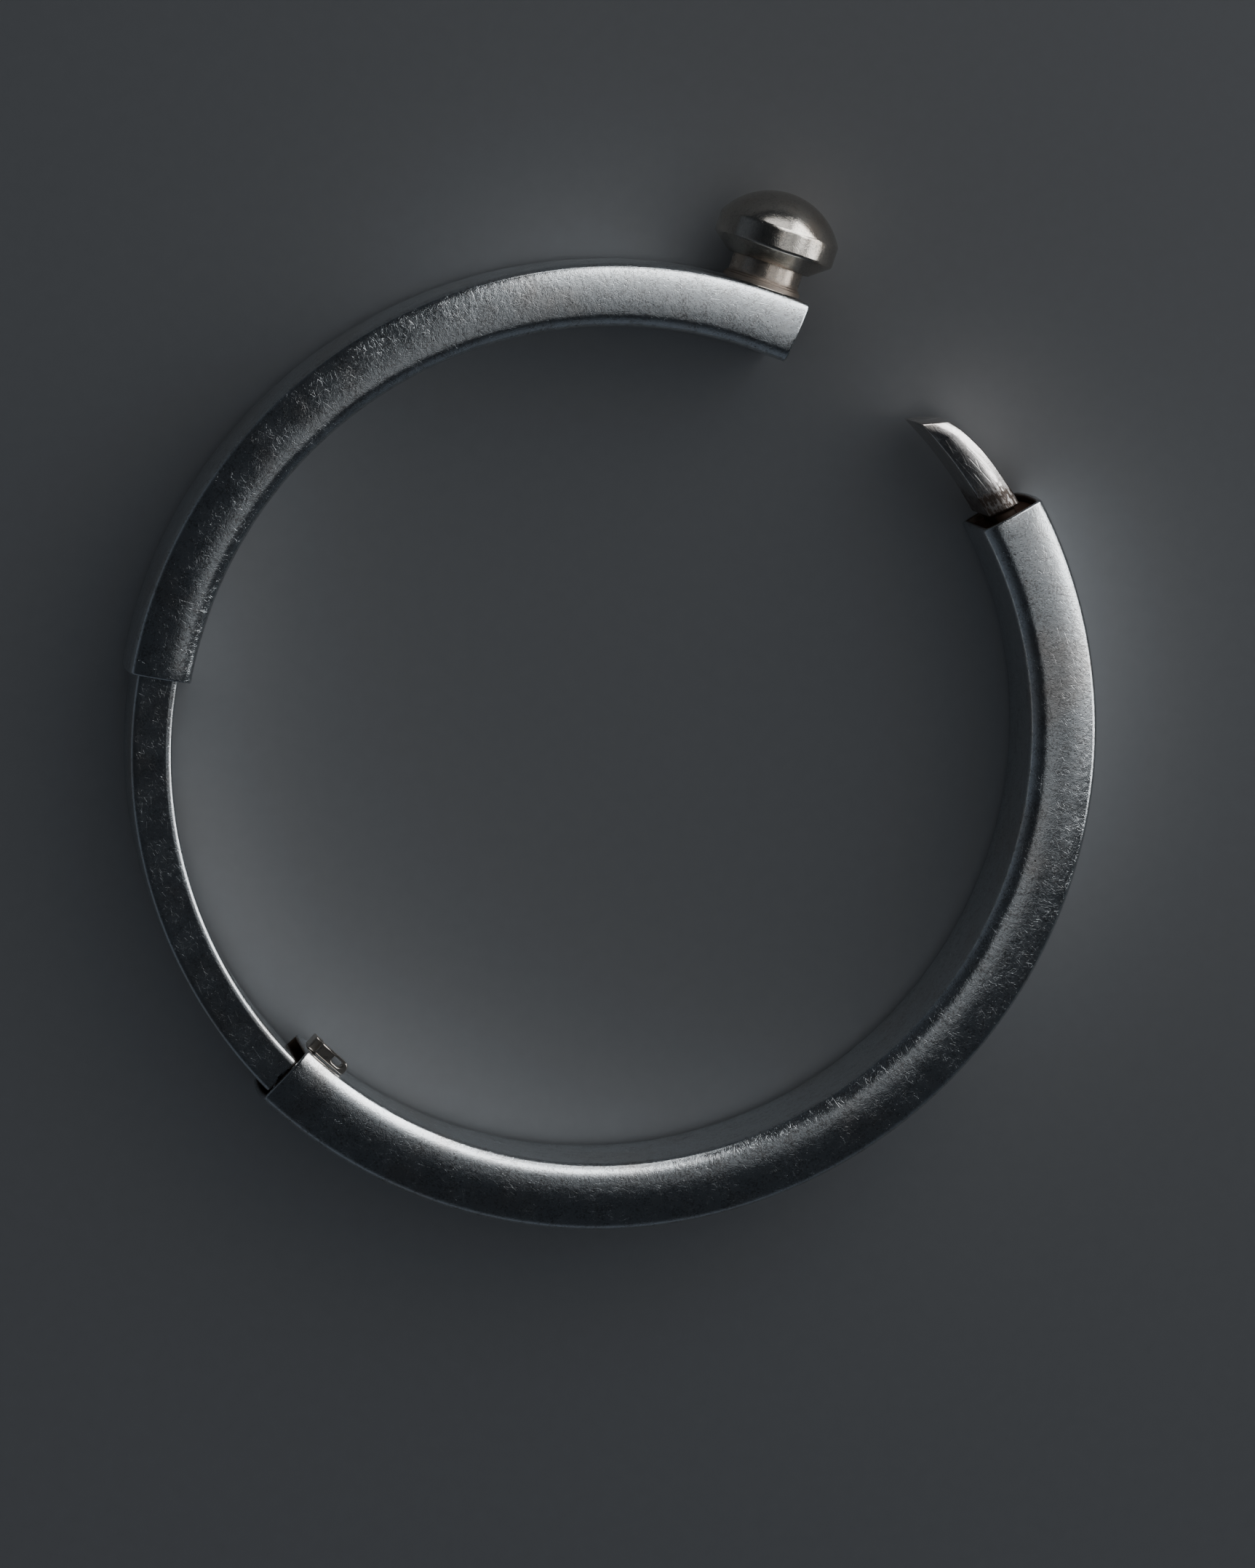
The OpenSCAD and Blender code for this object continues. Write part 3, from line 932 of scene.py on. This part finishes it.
neck_end = MOUTH_REACH + NECK_END
sections = []
for a, b, reach in zip(inner_line, outer_line, from_root):
    to_tip = from_root[-1] - reach
    step = min(1.0, max(0.0, (neck_end - reach) / NECK_RISE))
    neck = NECK_INSET * step * step * (3 - 2 * step)
    edge = max(0.0, 1 - to_tip / TIP_EASE)
    tip = max(0.0, 1 - to_tip / TIP_FALL_FROM)
    fall = TIP_FALL * tip ** 2 + TIP_EASE * (1 - math.sqrt(1 - edge ** 2))
    sections.append(tongue_section(a, b, neck, fall, INNER_FALL * (1 - tip)))
rows = np.stack(sections)
from_mouth = (lengths(rows.mean(axis=1)) - MOUTH_REACH)[:, None]
ring_length = lengths(rows[0])
tongue = skin("tongue_blade", rows, from_mouth + 0 * ring_length, ring_length + 0 * from_mouth,
              finishes["filed_silver"])

PLUG_GAP = 0.04
PLUG_BEHIND = 12.2  # degrees from the mouth to the plug's far end
PLUG_SPAN = 11.4
PLUG_ROUND = 0.4
PLUG_OUTER_ROUND = 0.25
PLUG_STEPS = 24
wall = SHEET_T + PLUG_GAP
root_plug = grown("root_plug", solid_arc, finishes["solder"], PLUG_STEPS, MOUTH_A - PLUG_BEHIND, PLUG_SPAN,
                  {**BAND, "Inner radius": TUBE_R + wall, "Thickness": TUBE_T - 2 * wall,
                   "Width": BAND_W - 2 * wall, "Inner rounding": PLUG_ROUND,
                   "Outer rounding": PLUG_OUTER_ROUND})

# %% [markdown]
# The button is turned on a lathe: a shaft, a bore that slips over the post, a cone, a straight
# band and a low dome, all round one axis. The post stands on the sleeve with two thin collars
# of solder at its foot. Both stand on the sleeve's outer wall, square to it.

# %% Post with its collars
SLEEVE_OUT_R = SLEEVE_R + SLEEVE_T
POST_R = 2.5
POST_BORE_R = 1.15
POST_TOP = 2.1
POST_SUNK = -0.3
LOW_COLLAR = (2.76, 0.16)  # radius and top
HIGH_COLLAR = (2.63, 0.32)
at_button = (Matrix.Translation((*ARM_AT, MID_Z)) @ Matrix.Rotation(math.radians(BUTTON_A), 4, "Z")
             @ Matrix.Rotation(math.pi / 2, 4, "Y") @ Matrix.Translation((0, 0, SLEEVE_OUT_R)))
post = turned("button_post", eased([  # radius, height and rounding of each corner
    (POST_BORE_R, POST_SUNK, 0.05), (LOW_COLLAR[0], POST_SUNK, 0.05), (*LOW_COLLAR, 0.06),
    (HIGH_COLLAR[0], LOW_COLLAR[1], 0.04), (*HIGH_COLLAR, 0.06), (POST_R, HIGH_COLLAR[1], 0.04),
    (POST_R, POST_TOP, 0.12), (POST_BORE_R, POST_TOP, 0.1)], steps=4, hold=0.01),
    finishes["post_silver"], at_button, ring=True)

# %% [markdown]
# The head is one profile: up the shaft, out to the rim of the bore, along the cone to the
# straight band, and over a round shoulder into the dome. Shoulder and dome are two arcs that
# touch, so their meeting point is worked out instead of guessed.

# %% Button head
HEAD_R = 4.25
DOME_H = 2.55
RIM_H = 2.55
DOME_BASE = 4.0
SHOULDER = 0.55
SHAFT_R = 1.1
SHAFT_TIP = 1.25
BORE_R = 2.82
BORE_TOP = 3.6
SKIRT = (2.9, 1.5)  # outer radius and height of the rim round the bore
SHOULDER_STEPS, DOME_STEPS = 10, 30
dome_r = (HEAD_R ** 2 + DOME_H ** 2) / (2 * DOME_H)
dome_at = DOME_BASE + DOME_H - dome_r
shoulder_y = dome_at + math.sqrt((dome_r - SHOULDER) ** 2 - (HEAD_R - SHOULDER) ** 2)
touch_a = math.atan2(shoulder_y - dome_at, HEAD_R - SHOULDER)
lower = eased([(0.0, SHAFT_TIP, 0), (SHAFT_R, SHAFT_TIP, 0.2), (SHAFT_R, BORE_TOP, 0.15),
               (BORE_R, BORE_TOP, 0.15), (BORE_R, SKIRT[1], 0.035), (*SKIRT, 0.035),
               (HEAD_R, RIM_H, 0.3), (HEAD_R, shoulder_y, 0)])
curve = [(HEAD_R - SHOULDER + SHOULDER * math.cos(t), shoulder_y + SHOULDER * math.sin(t))
         for t in np.linspace(0, touch_a, SHOULDER_STEPS)[1:]]
curve += [(dome_r * math.cos(t), dome_at + dome_r * math.sin(t))
          for t in np.linspace(touch_a, math.pi / 2, DOME_STEPS)[1:]]
curve[-1] = (0.0, dome_at + dome_r)
head = turned("button_head", np.concatenate([lower, curve]), finishes["cap_silver"], at_button)

# %% [markdown]
# The safety eye is a small plate with an oval hole, where a safety chain once ended. It stands
# on the tube's inner wall on a low foot. An outline with a hole is what a flat curve is for:
# Blender fills it, gives it thickness and rounds its edges.

# %% Safety eye
EYE_A = -131.9
EYE_EDGE = 0.12
PLATE = ((28.62, 29.52), (-0.5, 1.98), (7.0, 8.1))  # from the arc's centre, sideways, in height
FOOT = ((28.62, 29.62), (-1.0, -0.2), (5.6, 7.3))
HOLE = (29.0, 1.12, 0.5, 0.86)  # centre, width and length


def outline(sides, roundings):
    """Rectangle with its own rounding at each corner."""
    (x0, x1), (y0, y1), _ = sides
    corners = ((x0, y0), (x1, y0), (x1, y1), (x0, y1))
    return eased([(*corner, rounding) for corner, rounding in zip(corners, roundings)], 8, 0.0)


def oval(cx, cy, width, length, count=40):
    half = (length - width) / 2
    points = []
    for a in np.linspace(0, 2 * math.pi, count, endpoint=False):
        shift = math.copysign(half, math.sin(a))
        points.append((cx + width / 2 * math.cos(a), cy + width / 2 * math.sin(a) + shift))
    return np.array(points)


def plate(name, loops, low, high, edge, place, material):
    """Flat plate with rounded edges between two heights, from its outline and its holes."""
    data = bpy.data.curves.new(name, "CURVE")
    data.dimensions = "2D"
    data.fill_mode = "BOTH"
    data.extrude = (high - low) / 2 * MM - edge * MM
    data.bevel_depth = edge * MM
    data.bevel_resolution = 3
    data.offset = -edge * MM
    for loop in loops:
        spline = data.splines.new("POLY")
        spline.points.add(len(loop) - 1)
        spline.points.foreach_set("co", np.ravel([(x * MM, y * MM, 0, 1) for x, y in loop]))
        spline.use_cyclic_u = True
    holder = placed(name, data)
    graph = bpy.context.evaluated_depsgraph_get()
    mesh = bpy.data.meshes.new_from_object(holder.evaluated_get(graph))
    bpy.data.objects.remove(holder)
    mesh.transform(place @ Matrix.Translation((0, 0, (low + high) / 2 * MM)))
    cleaned(mesh, 1e-7)
    mesh.materials.clear()
    measured(mesh, *([v.co[axis] / MM for v in mesh.vertices] for axis in (0, 1)))
    return as_piece(name, mesh, material)


eye_frame = Matrix.Rotation(math.radians(EYE_A), 4, "Z")
eye_plate = plate("eye_plate", [outline(PLATE, (0.1, 0.1, 0.16, 0.4)), oval(*HOLE)[::-1]], *PLATE[2],
                  EYE_EDGE, eye_frame, finishes["lug_silver"])
eye_foot = plate("eye_foot", [outline(FOOT, (0.1, 0.1, 0.1, 0.1))], *FOOT[2],
                 EYE_EDGE, eye_frame, finishes["lug_silver"])

# %% [markdown]
# The hinge pin is hidden inside the tube, so it stays as it came and only gets a finish. Each
# new piece says which solid it stands for, which body it moves with, and which of the record's
# finishes it wears.

# %% Who stands for whom
pin_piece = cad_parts["hinge_pin"]
for slot in pin_piece.material_slots:
    slot.material = finishes["lug_silver"]

CAST = (
    # piece, node it stands for, body it moves with, finish in the record
    (tube, "tube", "tube", "silver"),
    (tongue, "tongue", "tube", "worn_silver"),
    (root_plug, "tongue", "tube", "worn_silver"),
    (eye_plate, "safety_eye", "tube", "worn_silver"),
    (eye_foot, "safety_eye", "tube", "worn_silver"),
    (bar, "bar", "arm", "silver"),
    (hinge_eye, "bar", "arm", "silver"),
    (sleeve, "sleeve", "slider", "silver"),
    (post, "sleeve", "slider", "silver"),
    (head, "knob", "button", "silver"),
)
for piece, node, body, slot in CAST:
    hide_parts(node)
    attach(piece, body)
print(len(CAST), "pieces placed")

# %% [markdown]
# The bangle lies on a plain floor of fine grain, wide enough that no view sees its edge. It is
# a stage, not part of the bangle.

# %% Floor
FLOOR_HALF = 1.5
FLOOR_GRAIN = 900.0
FLOOR_TONES = ((0.475, 0.485, 0.5, 1.0), (0.515, 0.525, 0.54, 1.0))
FLOOR_ROUGH = 0.8
FLOOR_ROUGHER = 0.1  # where the grain is lightest


def floor_finish():
    material = bpy.data.materials.new("pale_floor")
    material.use_nodes = True
    g = Graph(material.node_tree)
    shader = g.tree.nodes["Principled BSDF"]
    place = g.node("ShaderNodeTexCoord", out="Object")
    grain = noise_in(g, place)(FLOOR_GRAIN)
    tone = mix_colour(g, grain, *FLOOR_TONES)
    g.feed(tone, shader, "Base Color")
    g.feed(FLOOR_ROUGH + grain * FLOOR_ROUGHER, shader, "Roughness")
    return material


floor_mesh = bpy.data.meshes.new("floor")
corners = [(x * FLOOR_HALF, y * FLOOR_HALF, 0.0) for x, y in ((-1, -1), (1, -1), (1, 1), (-1, 1))]
floor_mesh.from_pydata(corners, [], [(0, 1, 2, 3)])
floor_mesh.materials.append(floor_finish())
floor = placed("floor", floor_mesh)
floor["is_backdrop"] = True
print("floor", 2 * FLOOR_HALF, "m wide")

# %% [markdown]
# On polished metal the highlight is a picture of the lamp, so its size and place matter more
# than its strength. In the studio one large lamp stood to the upper right. Here a stack of
# lamps takes its place: each lies inside the one before it, and together they fade from a dim
# edge to a bright heart, as light on a large cloth does. The low ones put the thin bright line
# on the edges that face the wrist. Strength is given as the radiance that the metal sees, and
# the lamps show in the metal only.

# %% Lamps that the metal sees
LAMP_COLOUR = (0.985, 0.99, 1.0)
CEILING = (
    # name, centre in mm, size in mm, radiance
    ("overhead_lamp", (58, 30, 150), (100, 92), 0.24),
    ("middle_lamp", (36, 34, 149), (58, 56), 0.17),
    ("small_lamp", (27, -14, 150), (32, 32), 0.2),
    ("right_dim_lamp", (131, 21, 148), (116, 98), 0.2),
    ("right_mid_lamp", (142, 39, 147), (94, 102), 0.44),
    ("right_lamp", (154, 51, 146), (84, 84), 2.2),
    ("far_dim_lamp", (94, 113, 148), (188, 142), 0.26),
    ("far_mid_lamp", (94, 123, 147), (190, 122), 0.6),
    ("far_lamp", (102, 132, 146), (174, 104), 1.6),
)
LOW = (
    ("right_low_lamp", (215, 18, 92), (130, 116), 2.0),
    ("corner_low_lamp", (165, 158, 92), (130, 116), 3.0),
    ("far_low_lamp", (40, 225, 105), (130, 90), 1.0),
)
ROUND = ("overhead_lamp", "middle_lamp")


def soft_lamp(name, centre_mm, size_mm, radiance, aim_mm):
    data = bpy.data.lights.new(name, "AREA")
    data.shape = "ELLIPSE" if name in ROUND else "RECTANGLE"
    data.size, data.size_y = (v * MM for v in size_mm)
    area = data.size * data.size_y * (math.pi / 4 if name in ROUND else 1.0)
    data.energy = radiance * math.pi * area
    data.color = LAMP_COLOUR
    lamp = placed(name, data)
    centre = Vector(centre_mm) * MM
    turn = (Vector(aim_mm) * MM - centre).to_track_quat("-Z", "Y")
    lamp.matrix_world = Matrix.Translation(centre) @ turn.to_matrix().to_4x4()
    lamp.visible_camera = False
    lamp.visible_diffuse = False


for row in CEILING:
    soft_lamp(*row, aim_mm=(*row[1][:2], 0.0))
for row in LOW:
    soft_lamp(*row, aim_mm=(0.0, 0.0, row[1][2]))
print(len(CEILING), "lamps look down and", len(LOW), "look in from the side")

# %% [markdown]
# The floor needs its own light, or it would show the lamps as patches. One sun as wide as most
# of the sky lights it evenly, and the metal doesn't see it. A dim surround, a little brighter
# low down on the side away from the lamps, keeps the metal from going black in any view.

# %% Even fill and surround
FILL_STRENGTH = 0.22
FILL_ANGLE = 110.0
FILL_TURN = (-12.0, 14.0, 0.0)
FILL_COLOUR = (0.97, 0.985, 1.0)
AIR_COLOUR = (0.78, 0.87, 1.0, 1.0)
AIR_LOW = 0.045
AIR_DROP = 0.015
AIR_DROP_HEIGHTS = (0.1, 0.6)
AIR_BEHIND = 0.07
AIR_BEHIND_SIDE = (-0.3, 0.6)
AIR_BEHIND_HEIGHTS = (0.4, 0.85)
AWAY_FROM_LAMPS = -0.7

fill_data = bpy.data.lights.new("fill_light", "SUN")
fill_data.energy = FILL_STRENGTH
fill_data.angle = math.radians(FILL_ANGLE)
fill_data.color = FILL_COLOUR
fill = placed("fill_light", fill_data)
fill.rotation_euler = [math.radians(a) for a in FILL_TURN]
fill.visible_glossy = False

surround = bpy.data.worlds.new("surround")
surround.use_nodes = True
air = Graph(surround.node_tree)
right, far, height = air.split(air.node("ShaderNodeTexCoord", out="Generated"))
behind = ((right + far) * AWAY_FROM_LAMPS).ramp(*AIR_BEHIND_SIDE)
behind = behind * (1.0 - height.ramp(*AIR_BEHIND_HEIGHTS))
strength = AIR_LOW - height.ramp(*AIR_DROP_HEIGHTS) * AIR_DROP + behind * AIR_BEHIND
background = surround.node_tree.nodes["Background"]
background.inputs["Color"].default_value = AIR_COLOUR
air.feed(strength, background, "Strength")
bpy.context.scene.world = surround
bpy.context.scene.view_settings.look = "AgX - Medium High Contrast"
print("fill and surround set")

# %% [markdown]
# Both boxes are measured, the solids' and the new pieces', and printed.

# %% Boxes
visual_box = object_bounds()
boxes = {"cad": [list(v) for v in cad_box], "visual": [list(v) for v in visual_box]}
print("boxes in mm:", {k: [[round(c * IN_MM, 2) for c in v] for v in b] for k, b in boxes.items()})
